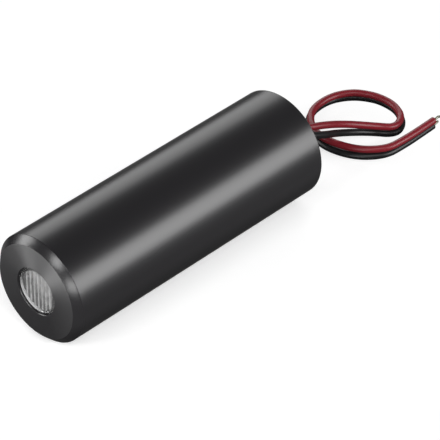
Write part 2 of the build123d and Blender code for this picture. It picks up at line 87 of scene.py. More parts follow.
# Routes of the leads in millimetres, from inside the grommet to the cut end of the insulation
RED_ROUTE = [
    (-25.25, -1.0, 0.0),
    (-32.75, -1.0, 0.0),
    (-40.1, 0.1, -1.9),
    (-46.5, 0.2, -4.9),
    (-52.1, 2.55, -7.1),
    (-55.05, 4.7, -7.85),
    (-58.35, 3.4, -7.85),
    (-60.1, 0.2, -7.85),
    (-60.35, -2.6, -7.85),
    (-59.8, -5.4, -7.85),
    (-57.8, -8.7, -7.85),
    (-53.5, -10.65, -7.85),
    (-47.35, -9.85, -7.85),
    (-43.05, -4.1, -7.85),
    (-44.5, 3.55, -7.85),
    (-48.8, 7.95, -7.85),
    (-53.65, 8.3, -7.85),
    (-57.8, 8.3, -7.85),
    (-61.55, 8.2, -7.85),
]
BLACK_ROUTE = [
    (-25.25, 1.0, 0.0),
    (-32.6, 1.0, 0.0),
    (-38.9, 1.7, -2.7),
    (-44.6, 0.15, -5.9),
    (-51.55, 1.35, -8.7),
    (-55.05, 4.8, -9.325),
    (-58.4, 3.7, -9.325),
    (-60.6, 0.65, -9.325),
    (-61.1, -2.35, -9.325),
    (-60.7, -5.5, -9.325),
    (-58.3, -9.25, -9.325),
    (-53.55, -11.55, -9.325),
    (-47.25, -10.35, -9.325),
    (-43.0, -3.8, -9.325),
    (-44.2, 3.4, -9.325),
    (-48.6, 7.75, -9.325),
    (-53.65, 8.05, -9.325),
    (-57.9, 8.0, -9.325),
    (-61.8, 7.85, -9.325),
]


def length(label, about, size):
    """Size property in metres."""
    return FloatProperty(name=label, description=about, default=size, unit="LENGTH", precision=5)


def colour(label, about, hexcode):
    """Colour property whose default is an sRGB hex code."""
    return FloatVectorProperty(
        name=label, description=about, subtype="COLOR", size=3, min=0, max=1, default=linear(hexcode)
    )


def linear(hexcode):
    """Linear colour of an sRGB hex code."""
    parts = [int(hexcode[place : place + 2], 16) / 255 for place in (0, 2, 4)]
    return [part / 12.92 if part <= 0.04045 else ((part + 0.055) / 1.055) ** 2.4 for part in parts]


class BarrelSettings(PropertyGroup):
    front_chamfer: length("Front chamfer", "Width of the chamfer, along and across", 0.00125)
    back_edge: length("Back edge", "Broken edge at the back rim", 0.0002)
    wall: length("Wall", "Wall of the barrel round its bore", 0.0015)
    mouth_chamfer: length("Mouth chamfer", "Lead-in of the rear bore", 0.00035)
    front_wall: length("Front wall", "From the front face to the inner shoulder", 0.0052)
    aperture: length("Aperture", "Diameter of the hole in the front face", 0.0086)
    aperture_edge: length("Aperture edge", "Broken edge round the aperture", 0.00015)
    lens_depth: length("Lens pocket", "Depth of the pocket that holds the lens", 0.0031)
    lens_seat: length("Lens seat", "Width of the shoulder behind the lens", 0.0007)
    edge_radius: length("Edge radius", "Rounding of the turned edges", 0.00006)
    steps: IntProperty(name="Steps", description="Facets round the barrel", default=256, min=32)
    facing_slope: FloatProperty(
        name="Facing slope", description="Slope of the grooves on the front face", default=0.58, min=0
    )
    black: colour("Anodise", "Colour of the dyed oxide layer", "1b1a1c")


class LensSettings(PropertyGroup):
    rim: length("Rim", "Width of the plain rim round the ribs", 0.00045)
    bead: length("Bead", "Height of the rim's rounded bead", 0.0004)
    crest: length("Crest", "How far the bead stands in front of the ribs", 0.0002)
    bevel: length("Bevel", "Broken edge at the lens's back", 0.00015)
    pitch: length("Rib pitch", "Distance from rib to rib", 0.0009)
    height: length("Rib height", "Height of each rib", 0.00022)
    steps: IntProperty(name="Steps", description="Facets across each rib", default=12, min=4)
    acrylic: colour("Acrylic", "Colour of the moulded acrylic's haze", "b7b7b7")


class RearSettings(PropertyGroup):
    wall: length("Cap wall", "Thickness of the cap", 0.002)
    skirt: length("Skirt", "Wall of the cap's skirt", 0.0016)
    chamfer: length("Cap chamfer", "Chamfer round the cap", 0.0003)
    neck: length("Neck", "Diameter of the grommet's neck", 0.0052)
    lip: length("Lip", "Width of the lip inside the cap", 0.0004)
    hole: length("Hole", "Diameter of each lead's hole", 0.00143)
    spacing: length("Spacing", "Distance between the two holes", 0.002)
    grommet_edge: length("Grommet edge", "Rounding of the grommet's edges", 0.00018)
    slot: length("Board slot", "Depth of the board's slot in the skirt", 0.0021)
    slot_gap: length("Slot gap", "Play of the board in its slot", 0.0001)
    rubber: colour("Rubber", "Colour of the grommet", "1d1d1e")


class LeadSettings(PropertyGroup):
    diameter: length("Diameter", "Diameter over the insulation", 0.00135)
    core: length("Core", "Diameter of the tinned core", 0.00048)
    red_length: length("Red length", "Length of the red insulation", 0.092)
    black_length: length("Black length", "Length of the black insulation", 0.0954)
    red_tip: length("Red tip", "Length of the red lead's bare end", 0.0028)
    red_bend: length("Red bend", "Rise of the red bare end at its bend", 0.0002)
    red_end: length("Red end", "Rise of the red bare end at its tip", -0.0006)
    black_tip: length("Black tip", "Length of the black lead's bare end", 0.0016)
    black_bend: length("Black bend", "Rise of the black bare end at its bend", 0.00005)
    black_end: length("Black end", "Rise of the black bare end at its tip", 0.0002)
    red: colour("Red insulation", "Colour of the red insulation", "741b24")
    black: colour("Black insulation", "Colour of the black insulation", "161617")
    tin: colour("Tinned copper", "Colour of the tinned core", "8d8e80")


class InsideSettings(PropertyGroup):
    chip_half_width: length("Chip body", "Half the width of the driver chip's body", 0.00195)
    transistor_half_width: length("Transistor body", "Half the width of the transistor's body", 0.0007)
    protection_body: length("Diode body", "Half the length between the diode's ends", 0.00081)
    tantalum_body: length("Tantalum body", "Half the length between the capacitor's ends", 0.00105)
    ceramic_length: length("Ceramic length", "Length of a ceramic capacitor", 0.002)
    ceramic_body: length("Ceramic body", "Half the length between its ends", 0.0006)
    resistor_length: length("Resistor length", "Length of a resistor", 0.0016)
    resistor_body: length("Resistor body", "Half the length between its ends", 0.00048)
    resistor_step: length("Resistor step", "From the first one's back to the second's middle", 0.0038)


class StageSettings(PropertyGroup):
    floor: colour("Floor", "Colour of the table", "ffffff")
    reach: length("Reach", "From the table's middle to each of its edges", 4.0)
    distance: length("Distance", "From the barrel to every softbox", 0.6)
    lamp_light: FloatProperty(name="Lamps", description="Strength of all the softboxes", default=1.0, min=0)
    room_light: FloatProperty(name="Room", description="Strength of the room light", default=0.11, min=0)


def new_object(name, mesh_or_curve, slot, material, *replaced):
    """Link a new piece, give it its material, hang it from the root body and hide the parts it stands for.
    """
    piece = bpy.data.objects.new(name, mesh_or_curve)
    bpy.context.scene.collection.objects.link(piece)
    mesh_or_curve.materials.append(material)
    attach(piece, "root")
    if replaced:
        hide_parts(*replaced)
    return piece


def round_edges(bm, radius):
    """Round every edge where two faces meet steeply."""
    sharp = [edge for edge in bm.edges if edge.calc_face_angle(0) > ROUNDED_FROM]
    bmesh.ops.bevel(
        bm,
        geom=sharp,
        affect="EDGES",
        offset=radius,
        segments=3,
        profile=0.5,
        material=-1,
        clamp_overlap=True,
    )


def mesh_from(bm, name):
    """Turn a bmesh into a smooth-shaded mesh with outward normals."""
    bmesh.ops.recalc_face_normals(bm, faces=bm.faces)
    for face in bm.faces:
        face.smooth = True
    mesh = bpy.data.meshes.new(name)
    bm.to_mesh(mesh)
    bm.free()
    mesh.set_sharp_from_angle(angle=SHARP_FROM)
    return mesh


def spun(outline, steps):
    """Bmesh of a piece turned about the optical axis from a closed outline of (x, radius) points."""
    bm = bmesh.new()
    verts = [bm.verts.new((x, 0, radius)) for x, radius in outline]
    for first, second in zip(verts, verts[1:] + verts[:1]):
        bm.edges.new((first, second))
    bmesh.ops.spin(
        bm,
        geom=bm.verts[:] + bm.edges[:],
        cent=(0, 0, 0),
        axis=(1, 0, 0),
        angle=2 * pi,
        steps=steps,
        use_merge=True,
    )
    bmesh.ops.remove_doubles(bm, verts=bm.verts, dist=1e-7)
    bmesh.ops.recalc_face_normals(bm, faces=bm.faces)
    return bm


def combined(base, tool, operation):
    """Bmesh of two closed bmeshes after a Boolean: base cut by, kept inside or joined to the tool."""
    pair = []
    for bm in (base, tool):
        mesh = bpy.data.meshes.new("workpiece")
        bm.to_mesh(mesh)
        bm.free()
        pair.append(bpy.data.objects.new("workpiece", mesh))
        bpy.context.scene.collection.objects.link(pair[-1])
    body, cutter = pair
    cut = body.modifiers.new("cut", "BOOLEAN")
    cut.operation = operation
    cut.solver = "EXACT"
    cut.object = cutter
    evaluated = body.evaluated_get(bpy.context.evaluated_depsgraph_get())
    bm = bmesh.new()
    bm.from_mesh(evaluated.to_mesh())
    for piece in pair:
        mesh = piece.data
        bpy.data.objects.remove(piece)
        bpy.data.meshes.remove(mesh)
    bmesh.ops.dissolve_degenerate(bm, edges=bm.edges, dist=1e-6)
    return bm


def even_shading(piece):
    """Keep flat faces flat beside their small rounded edges."""
    shading = piece.modifiers.new("Even shading", "WEIGHTED_NORMAL")
    shading.keep_sharp = True


def principled(name, **inputs):
    """New material with one Principled shader, its sockets set from the inputs."""
    material = bpy.data.materials.new(name)
    material.use_nodes = True
    shader = material.node_tree.nodes["Principled BSDF"]
    for socket, value in inputs.items():
        shader.inputs[socket.replace("_", " ")].default_value = value
    return material, material.node_tree, shader


def add_node(tree, kind, settings=None, **links):
    """Add a node, set its properties, and set or link its inputs by name or number."""
    node = tree.nodes.new(kind)
    for key, value in (settings or {}).items():
        setattr(node, key, value)
    for key, value in links.items():
        socket = node.inputs[int(key[2:])] if key.startswith("in") else node.inputs[key.replace("_", " ")]
        if isinstance(value, bpy.types.NodeSocket):
            tree.links.new(value, socket)
        else:
            socket.default_value = value
    return node


def from_axis(tree, place):
    """Vector from the optical axis to a place, and its length."""
    across = add_node(tree, "ShaderNodeVectorMath", {"operation": "MULTIPLY"}, in0=place, in1=(0, 1, 1))
    radius = add_node(tree, "ShaderNodeVectorMath", {"operation": "LENGTH"}, in0=across.outputs[0])
    return across.outputs[0], radius.outputs["Value"]


def turned_path(tree, place, radius):
    """Distance along the tool's path on a piece turned about X: along it on walls, outwards on faces."""
    along = add_node(tree, "ShaderNodeSeparateXYZ", in0=place)
    total = add_node(tree, "ShaderNodeMath", {"operation": "ADD"}, in0=along.outputs["X"], in1=radius)
    return total.outputs[0]


def straight_ray(tree):
    """Light path of a ray, and one for a ray from the camera or through something clear."""
    path = add_node(tree, "ShaderNodeLightPath")
    straight = add_node(
        tree,
        "ShaderNodeMath",
        {"operation": "MAXIMUM"},
        in0=path.outputs["Is Camera Ray"],
        in1=path.outputs["Is Transmission Ray"],
    )
    return path, straight.outputs[0]


def anodised(colour_value, facing_slope):
    """Black anodised aluminium, turned, with a dyed satin oxide layer.

    The dye makes it near black and the oxide gives soft highlights on the wall. The front is faced
    off in one pass, and the clear skin over its grooves leans outwards, so it fans the light out.
    """
    material, tree, shader = principled(
        "Black anodised aluminium",
        Base_Color=(*colour_value, 1),
        Roughness=0.3,
        IOR=1.5,
        Anisotropic=0.35,
        Coat_Roughness=0.4,
        Coat_IOR=1.75,
    )
    place = add_node(tree, "ShaderNodeTexCoord").outputs["Object"]
    across, radius = from_axis(tree, place)
    path = turned_path(tree, place, radius)
    # Tool marks 0.25 mm apart, drawn coarser than the real 0.05 mm so that they show at all
    marks = add_node(tree, "ShaderNodeTexNoise", {"noise_dimensions": "1D"}, W=path, Scale=4000, Detail=2)
    # Grain of the etched skin, 0.12 mm
    grain = add_node(tree, "ShaderNodeTexNoise", Vector=place, Scale=8000, Detail=3)
    mix = add_node(
        tree, "ShaderNodeMix", {"data_type": "FLOAT"}, in0=0.5, in2=marks.outputs[0], in3=grain.outputs[0]
    )
    # How far a point belongs to the front face, or to the chamfer and the face, by its normal
    shape = add_node(tree, "ShaderNodeNewGeometry").outputs["Normal"]
    forward = add_node(tree, "ShaderNodeSeparateXYZ", in0=shape)
    faced = add_node(tree, "ShaderNodeMapRange", in0=forward.outputs["X"], in1=0.8, in2=0.98)
    chamfered = add_node(tree, "ShaderNodeMapRange", in0=forward.outputs["X"], in1=0.1, in2=0.6)
    # The cutter left the chamfer and the face smoother than the wall
    wall_gloss = add_node(tree, "ShaderNodeMapRange", in0=mix.outputs[0], in3=0.27, in4=0.29)
    gloss = add_node(
        tree,
        "ShaderNodeMix",
        {"data_type": "FLOAT"},
        in0=chamfered.outputs[0],
        in2=wall_gloss.outputs[0],
        in3=0.24,
    )
    tree.links.new(gloss.outputs[0], shader.inputs["Roughness"])
    # Grooves of the faced-off front, whose flanks look outwards from the middle
    outward = add_node(tree, "ShaderNodeVectorMath", {"operation": "NORMALIZE"}, in0=across)
    slope = add_node(
        tree, "ShaderNodeMapRange", in0=marks.outputs[0], in3=0.85 * facing_slope, in4=1.15 * facing_slope
    )
    flank = add_node(
        tree, "ShaderNodeVectorMath", {"operation": "SCALE"}, in0=outward.outputs[0], Scale=slope.outputs[0]
    )
    groove = add_node(tree, "ShaderNodeVectorMath", {"operation": "ADD"}, in0=shape, in1=flank.outputs[0])
    facing = add_node(tree, "ShaderNodeVectorMath", {"operation": "NORMALIZE"}, in0=groove.outputs[0])
    tree.links.new(facing.outputs[0], shader.inputs["Coat Normal"])
    tree.links.new(faced.outputs[0], shader.inputs["Coat Weight"])
    bump = add_node(tree, "ShaderNodeBump", Strength=0.03, Distance=0.00001, Height=grain.outputs[0])
    tree.links.new(bump.outputs[0], shader.inputs["Normal"])
    tangent = add_node(tree, "ShaderNodeTangent", {"direction_type": "RADIAL", "axis": "X"})
    tree.links.new(tangent.outputs[0], shader.inputs["Tangent"])
    return material


def moulded_acrylic(colour_value, field_radius, pitch):
    """Injection-moulded acrylic: clear between the ribs and in the rim, hazy on the ribs' crests.

    The hazy crests are a painted highlight, read as light lines along the ribs, and the rim's lower left is
    a painted glow; the clear parts show the dark bore behind.
    """
    material, tree, shader = principled(
        "Moulded acrylic", Base_Color=(*colour_value, 1), Roughness=0.16, IOR=1.49, Transmission_Weight=0.6
    )
    place = add_node(tree, "ShaderNodeTexCoord").outputs["Object"]
    parts = add_node(tree, "ShaderNodeSeparateXYZ", in0=place)
    # One wave for each rib, with its crest on the rib's crest
    turn = add_node(
        tree, "ShaderNodeMath", {"operation": "MULTIPLY"}, in0=parts.outputs["Y"], in1=2 * pi / pitch
    )
    wave = add_node(tree, "ShaderNodeMath", {"operation": "COSINE"}, in0=turn.outputs[0])
    crest = add_node(tree, "ShaderNodeMapRange", in0=wave.outputs[0], in1=-0.2, in2=1.0)
    # One inside the ribbed field, and zero in the rim round it
    across, radius = from_axis(tree, place)
    field = add_node(
        tree,
        "ShaderNodeMapRange",
        in0=radius,
        in1=field_radius - 0.00005,
        in2=field_radius - 0.00025,
    )
    # The outermost ribs are clear, because the haze stops 3.1 mm from the middle
    side = add_node(tree, "ShaderNodeMath", {"operation": "ABSOLUTE"}, in0=parts.outputs["Y"])
    inner = add_node(tree, "ShaderNodeMapRange", in0=side.outputs[0], in1=0.0033, in2=0.0029)
    hazy = add_node(
        tree, "ShaderNodeMath", {"operation": "MULTIPLY"}, in0=field.outputs[0], in1=inner.outputs[0]
    )
    # The haze also fills the valleys towards the lens's upper right
    upward = add_node(
        tree, "ShaderNodeVectorMath", {"operation": "DOT_PRODUCT"}, in0=place, in1=(0, 0.6, 0.8)
    )
    valleys = add_node(
        tree,
        "ShaderNodeMapRange",
        in0=upward.outputs["Value"],
        in1=-0.001,
        in2=0.002,
        in3=0.25,
        in4=0.75,
    )
    # Painted highlight: the haze is strongest on each rib's crest, where the ribs' highlights lie
    painted_crest_highlight = add_node(tree, "ShaderNodeMapRange", in0=crest.outputs[0], in3=valleys.outputs[0])
    # Clouds in the haze, about 1 mm across
    clouds = add_node(tree, "ShaderNodeTexNoise", Vector=place, Scale=900, Detail=2)
    cloudy = add_node(tree, "ShaderNodeMapRange", in0=clouds.outputs[0], in1=0.3, in2=0.7, in3=0.6, in4=1.0)
    patchy = add_node(
        tree, "ShaderNodeMath", {"operation": "MULTIPLY"}, in0=painted_crest_highlight.outputs[0], in1=cloudy.outputs[0]
    )
    haze = add_node(
        tree, "ShaderNodeMath", {"operation": "MULTIPLY"}, in0=hazy.outputs[0], in1=patchy.outputs[0]
    )
    # Painted glow: the rim is painted hazy at the lower left, across the lens from the lamps that shine
    # into it, as if it gathered their light there
    outward = add_node(tree, "ShaderNodeVectorMath", {"operation": "NORMALIZE"}, in0=across)
    away = add_node(
        tree,
        "ShaderNodeVectorMath",
        {"operation": "DOT_PRODUCT"},
        in0=outward.outputs[0],
        in1=(0, -0.67, -0.74),
    )
    painted_rim_glow = add_node(tree, "ShaderNodeMapRange", in0=away.outputs["Value"], in1=0.45, in2=0.85)
    rim = add_node(
        tree, "ShaderNodeMath", {"operation": "SUBTRACT"}, in0=painted_rim_glow.outputs[0], in1=field.outputs[0]
    )
    # Where the lens is hazy: the haze with its painted crest highlight, or the rim's painted glow
    haze_and_painted_glow = add_node(
        tree, "ShaderNodeMath", {"operation": "MAXIMUM"}, in0=haze.outputs[0], in1=rim.outputs[0]
    )
    clear = add_node(tree, "ShaderNodeMapRange", in0=haze_and_painted_glow.outputs[0], in3=0.93, in4=0.15)
    tree.links.new(clear.outputs[0], shader.inputs["Transmission Weight"])
    return material


def rubber(colour_value):
    """Moulded nitrile rubber: matt, with a fine bloom."""
    material, tree, shader = principled(
        "Moulded rubber", Base_Color=(*colour_value, 1), Roughness=0.62, IOR=1.5
    )
    place = add_node(tree, "ShaderNodeTexCoord").outputs["Object"]
    bloom = add_node(tree, "ShaderNodeTexNoise", Vector=place, Scale=3000, Detail=4)
    gloss = add_node(tree, "ShaderNodeMapRange", in0=bloom.outputs[0], in3=0.5, in4=0.75)
    tree.links.new(gloss.outputs[0], shader.inputs["Roughness"])
    bump = add_node(tree, "ShaderNodeBump", Strength=0.2, Distance=0.00002, Height=bloom.outputs[0])
    tree.links.new(bump.outputs[0], shader.inputs["Normal"])
    return material


def pvc(name, colour_value):
    """Extruded soft PVC insulation: satin, with slight changes of tone and gloss along it."""
    material, tree, shader = principled(
        name, Base_Color=(*colour_value, 1), Roughness=0.34, IOR=1.5, Specular_IOR_Level=0.32
    )
    place = add_node(tree, "ShaderNodeTexCoord").outputs["Object"]
    tone = add_node(tree, "ShaderNodeTexNoise", Vector=place, Scale=900, Detail=3)
    shade = add_node(
        tree,
        "ShaderNodeMix",
        {"data_type": "RGBA"},
        in0=tone.outputs[0],
        in6=(*[0.86 * part for part in colour_value], 1),
        in7=(*[1.12 * part for part in colour_value], 1),
    )
    tree.links.new(shade.outputs[2], shader.inputs["Base Color"])
    gloss = add_node(tree, "ShaderNodeMapRange", in0=tone.outputs[0], in3=0.28, in4=0.4)
    tree.links.new(gloss.outputs[0], shader.inputs["Roughness"])
    bump = add_node(tree, "ShaderNodeBump", Strength=0.15, Distance=0.00002, Height=tone.outputs[0])
    tree.links.new(bump.outputs[0], shader.inputs["Normal"])
    return material


def tinned_copper(colour_value):
    """Hot-dipped stranded copper: grey solder skin over the strands, uneven in gloss."""
    material, tree, shader = principled(
        "Tinned copper strand", Base_Color=(*colour_value, 1), Metallic=1.0, Roughness=0.5
    )
    place = add_node(tree, "ShaderNodeTexCoord").outputs["Object"]
    skin = add_node(tree, "ShaderNodeTexNoise", Vector=place, Scale=5000, Detail=3)
    gloss = add_node(tree, "ShaderNodeMapRange", in0=skin.outputs[0], in3=0.4, in4=0.6)
    tree.links.new(gloss.outputs[0], shader.inputs["Roughness"])
    bump = add_node(tree, "ShaderNodeBump", Strength=0.3, Distance=0.00002, Height=skin.outputs[0])
    tree.links.new(bump.outputs[0], shader.inputs["Normal"])
    return material


def mottled(name, colour_value, gloss, spot, **inputs):
    """Material whose gloss wanders between two values over spots of a given size, with a faint relief."""
    material, tree, shader = principled(name, Base_Color=(*colour_value, 1), Roughness=gloss[0], **inputs)
    place = add_node(tree, "ShaderNodeTexCoord").outputs["Object"]
    spots = add_node(tree, "ShaderNodeTexNoise", Vector=place, Scale=1 / spot, Detail=3)
    wander = add_node(tree, "ShaderNodeMapRange", in0=spots.outputs[0], in3=gloss[0], in4=gloss[1])
    tree.links.new(wander.outputs[0], shader.inputs["Roughness"])
    bump = add_node(tree, "ShaderNodeBump", Strength=0.15, Distance=spot / 20, Height=spots.outputs[0])
    tree.links.new(bump.outputs[0], shader.inputs["Normal"])
    return material, tree, shader, place


def turned_brass():
    """Free-cutting brass, turned and left bright: warm yellow with fine rings from the tool."""
    material, tree, shader, place = mottled(
        "Turned brass", linear("d9bd78"), (0.2, 0.32), 0.0004, Metallic=1.0, Anisotropic=0.5
    )
    path = turned_path(tree, place, from_axis(tree, place)[1])
    rings = add_node(tree, "ShaderNodeTexNoise", {"noise_dimensions": "1D"}, W=path, Scale=9000, Detail=2)
    bump = add_node(tree, "ShaderNodeBump", Strength=0.3, Distance=0.00001, Height=rings.outputs[0])
    tree.links.new(bump.outputs[0], shader.inputs["Normal"])
    return material


def polished_glass():
    """Moulded and polished glass, clear, with a trace of haze from its coating."""
    return mottled(
        "Polished glass", linear("f4f8f6"), (0.01, 0.05), 0.0008, IOR=1.52, Transmission_Weight=1.0
    )[0]


def sealing_glass():
    """Fused sealing glass: dark blue-green, glossy, with small bubbles."""
    return mottled(
        "Fused sealing glass", linear("1d3440"), (0.08, 0.2), 0.0001, IOR=1.52, Transmission_Weight=0.2
    )[0]


def spring_steel():
    """Hard-drawn spring wire: cool grey with the dull streaks of the die."""
    return mottled("Drawn spring steel", linear("a6a8ab"), (0.25, 0.42), 0.0003, Metallic=1.0)[0]


def gold_plate():
    """Gold flash over nickel on the diode's header and pins: warm and slightly grainy."""
    return mottled("Gold-plated steel", linear("e3c37c"), (0.18, 0.3), 0.0002, Metallic=1.0)[0]


def nickel_plate():
    """Bright nickel on the drawn cap: slightly warm grey, nearly mirror-like."""
    return mottled("Nickel-plated steel", linear("c5c1b8"), (0.12, 0.24), 0.0005, Metallic=1.0)[0]


def lapped_ceramic():
    """Aluminium nitride, lapped flat: matt, warm light grey."""
    return mottled("Lapped ceramic", linear("c9c7bf"), (0.5, 0.65), 0.00005, IOR=2.0)[0]


def polished_die():
    """Cleaved and polished semiconductor: dark, with a metallic sheen."""
    return mottled("Polished semiconductor", linear("3c3d48"), (0.08, 0.2), 0.0001, Metallic=0.6)[0]


def bright_solder():
    """Tin solder as it froze: bright, with slight ripples."""
    return mottled("Bright solder", linear("c6c6c2"), (0.15, 0.4), 0.0003, Metallic=1.0)[0]


def board_laminate():
    """Glass-epoxy board under green solder mask, with the cloth's weave showing through."""
    material, tree, shader, place = mottled(
        "Glass-epoxy board", linear("12502a"), (0.28, 0.4), 0.0006, IOR=1.55
    )
    # Weave of the glass cloth, over one thread and under the next in 1 mm each way
    weave = []
    for direction in ("X", "Y"):
        threads = add_node(
            tree,
            "ShaderNodeTexWave",
            {"bands_direction": direction},
            Vector=place,
            Scale=314,
            Distortion=0.5,
        )
        weave.append(threads.outputs[1])
    cloth = add_node(tree, "ShaderNodeMath", {"operation": "MULTIPLY"}, in0=weave[0], in1=weave[1])
    shade = add_node(
        tree,
        "ShaderNodeMix",
        {"data_type": "RGBA"},
        in0=cloth.outputs[0],
        in6=(*linear("12502a"), 1),
        in7=(*linear("1b6538"), 1),
    )
    tree.links.new(shade.outputs[2], shader.inputs["Base Color"])
    return material


def tinned_where(name, body, gloss, place_mask):
    """Moulded or sintered body whose metal ends or legs show tin where the mask is one."""
    material, tree, shader, place = mottled(name, body, gloss, 0.00008, IOR=1.55)
    tinned = place_mask(tree, place)
    shade = add_node(
        tree,
        "ShaderNodeMix",
        {"data_type": "RGBA"},
        in0=tinned,
        in6=(*body, 1),
        in7=(*linear("c2c2bd"), 1),
    )
    tree.links.new(shade.outputs[2], shader.inputs["Base Color"])
    tree.links.new(tinned, shader.inputs["Metallic"])
    return material


def beyond(axis, centres, reach):
    """Mask that is one farther than the reach from the nearest of the centres along an axis."""

    def mask(tree, place):
        along = add_node(tree, "ShaderNodeSeparateXYZ", in0=place).outputs[axis]
        nearest = None
        for centre in centres:
            offset = add_node(tree, "ShaderNodeMath", {"operation": "SUBTRACT"}, in0=along, in1=centre)
            away = add_node(tree, "ShaderNodeMath", {"operation": "ABSOLUTE"}, in0=offset.outputs[0])
            if nearest is None:
                nearest = away
            else:
                nearest = add_node(
                    tree,
                    "ShaderNodeMath",
                    {"operation": "MINIMUM"},
                    in0=nearest.outputs[0],
                    in1=away.outputs[0],
                )
        past = add_node(
            tree, "ShaderNodeMath", {"operation": "GREATER_THAN"}, in0=nearest.outputs[0], in1=reach
        )
        return past.outputs[0]

    return mask


def matt_card(white):
    """Seamless white card: the camera sees it near white, with only the shadow's share shaded."""
    material = bpy.data.materials.new("Matt white card")
    material.use_nodes = True
    tree = material.node_tree
    tree.nodes.clear()
    place = add_node(tree, "ShaderNodeTexCoord").outputs["Object"]
    across = add_node(tree, "ShaderNodeSeparateXYZ", in0=place)
    # Painted shade in reflections: the card is painted dark to the left and in a strip before the face, so
    # that the barrel's rims and face stay dark
    aside = add_node(tree, "ShaderNodeMath", {"operation": "ADD"}, in0=across.outputs["Y"], in1=0.01)
    clear = add_node(tree, "ShaderNodeMath", {"operation": "ABSOLUTE"}, in0=aside.outputs[0])
    strip = add_node(
        tree, "ShaderNodeMapRange", in0=clear.outputs[0], in1=0.012, in2=0.022, in3=0.05, in4=0.18
    )
    # Painted shade: the card is painted darker close to the barrel on both sides, and round the leads
    # behind it, where the barrel's own shade lies
    off_axis = add_node(tree, "ShaderNodeMath", {"operation": "ABSOLUTE"}, in0=across.outputs["Y"])
    beside = add_node(
        tree, "ShaderNodeMapRange", in0=off_axis.outputs[0], in1=0.01, in2=0.016, in3=0.04, in4=0.12
    )
    front = add_node(
        tree,
        "ShaderNodeMapRange",
        in0=across.outputs["X"],
        in1=0.029,
        in2=0.033,
        in3=beside.outputs[0],
        in4=strip.outputs[0],
    )
    # The card's painted dark colour for reflections and bounce light, fading to black towards the left
    painted_dark_card = add_node(
        tree,
        "ShaderNodeMapRange",
        in0=across.outputs["Y"],
        in1=-0.075,
        in2=-0.045,
        in3=0.0,
        in4=front.outputs[0],
    )
    card = add_node(tree, "ShaderNodeBsdfDiffuse", Color=painted_dark_card.outputs[0])
    # The lamps shade the card most on the barrel's right, and not at all from 62 mm away
    side = add_node(
        tree, "ShaderNodeMapRange", in0=across.outputs["Y"], in1=-0.03, in2=-0.012, in3=0.0, in4=0.8
    )
    away = add_node(tree, "ShaderNodeVectorMath", {"operation": "LENGTH"}, in0=place)
    share = add_node(
        tree,
        "ShaderNodeMapRange",
        in0=away.outputs["Value"],
        in1=0.032,
        in2=0.062,
        in3=side.outputs[0],
        in4=0.0,
    )
    shaded = add_node(
        tree, "ShaderNodeVectorMath", {"operation": "SCALE"}, in0=white, Scale=share.outputs[0]
    )
    seen_card = add_node(tree, "ShaderNodeBsdfDiffuse", Color=shaded.outputs[0])
    # They light the open card to 0.79 of white there, and its glow makes up the rest
    rest = add_node(tree, "ShaderNodeMapRange", in0=share.outputs[0], in3=1.01, in4=0.22)
    glow = add_node(tree, "ShaderNodeEmission", Color=(*white, 1), Strength=rest.outputs[0])
    seen = add_node(tree, "ShaderNodeAddShader", in0=glow.outputs[0], in1=seen_card.outputs[0])
    # Reflections show the same white card, but only the share that the painted shade lets through
    path, straight = straight_ray(tree)
    mirrored = add_node(
        tree,
        "ShaderNodeMath",
        {"operation": "MULTIPLY"},
        in0=path.outputs["Is Glossy Ray"],
        in1=painted_dark_card.outputs[0],
    )
    shown = add_node(
        tree, "ShaderNodeMath", {"operation": "MAXIMUM"}, in0=straight, in1=mirrored.outputs[0]
    )
    plain = add_node(
        tree, "ShaderNodeMixShader", in0=shown.outputs[0], in1=card.outputs[0], in2=seen.outputs[0]
    )
    add_node(tree, "ShaderNodeOutputMaterial", in0=plain.outputs[0])
    return material


class LASER_OT_inside(Operator):
    """Give the parts inside the barrel their materials"""

    bl_idname = "laser.inside"
    bl_label = "Inner parts"

    def execute(self, context):
        size = context.scene.laser_inside
        brass = turned_brass()
        glass = polished_glass()
        gold = gold_plate()
        die = polished_die()
        tin = tinned_copper(context.scene.laser_leads.tin)
        solder = bright_solder()
        materials = {
            "optics_block": brass,
            "lens_cell": brass,
            "lens_retaining_ring": brass,
            "diode_clamp_ring": brass,
            "collimating_lens": glass,
            "diode_window": glass,
            "focus_spring": spring_steel(),
            "diode_header": gold,
            "diode_pins": gold,
            "diode_can": nickel_plate(),
            "pin_seals": sealing_glass(),
            "chip_submount": lapped_ceramic(),
            "laser_chip": die,
            "monitor_photodiode": die,
            "driver_board": board_laminate(),
            "pin_solder_joints": solder,
            "lead_solder_joints": solder,
            "red_solder_tail": tin,
            "black_solder_tail": tin,
        }
        black_epoxy = ("Moulded black epoxy", linear("141415"), (0.5, 0.7))
        yellow_epoxy = ("Moulded yellow epoxy", linear("d39b2a"), (0.4, 0.6))
        titanate = ("Sintered barium titanate", linear("a07a52"), (0.35, 0.5))
        glaze = ("Black glaze on alumina", linear("17171a"), (0.15, 0.3))
        for node, look, axis, reach in (
            ("driver_chip", black_epoxy, "Y", size.chip_half_width),
            ("pass_transistor", black_epoxy, "Y", size.transistor_half_width),
            ("protection_diode", black_epoxy, "X", size.protection_body),
            ("tantalum_capacitor", yellow_epoxy, "X", size.tantalum_body),
        ):
            low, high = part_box(node)
            middle = (low + high) / 2
            centre = middle.x if axis == "X" else middle.y
            materials[node] = tinned_where(*look, beyond(axis, [centre], reach))
        for node, look, length_over, reach in (
            ("ceramic_capacitors", titanate, size.ceramic_length, size.ceramic_body),
            ("resistors", glaze, size.resistor_length, size.resistor_body),
        ):
            low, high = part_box(node)
            centres = [low.x + length_over / 2, high.x - length_over / 2]
            if node == "resistors":
                centres.append(low.x + size.resistor_step)
            materials[node] = tinned_where(*look, beyond("X", centres, reach))
        for node, material in materials.items():
            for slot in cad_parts[node].material_slots:
                slot.material = material
        return {"FINISHED"}


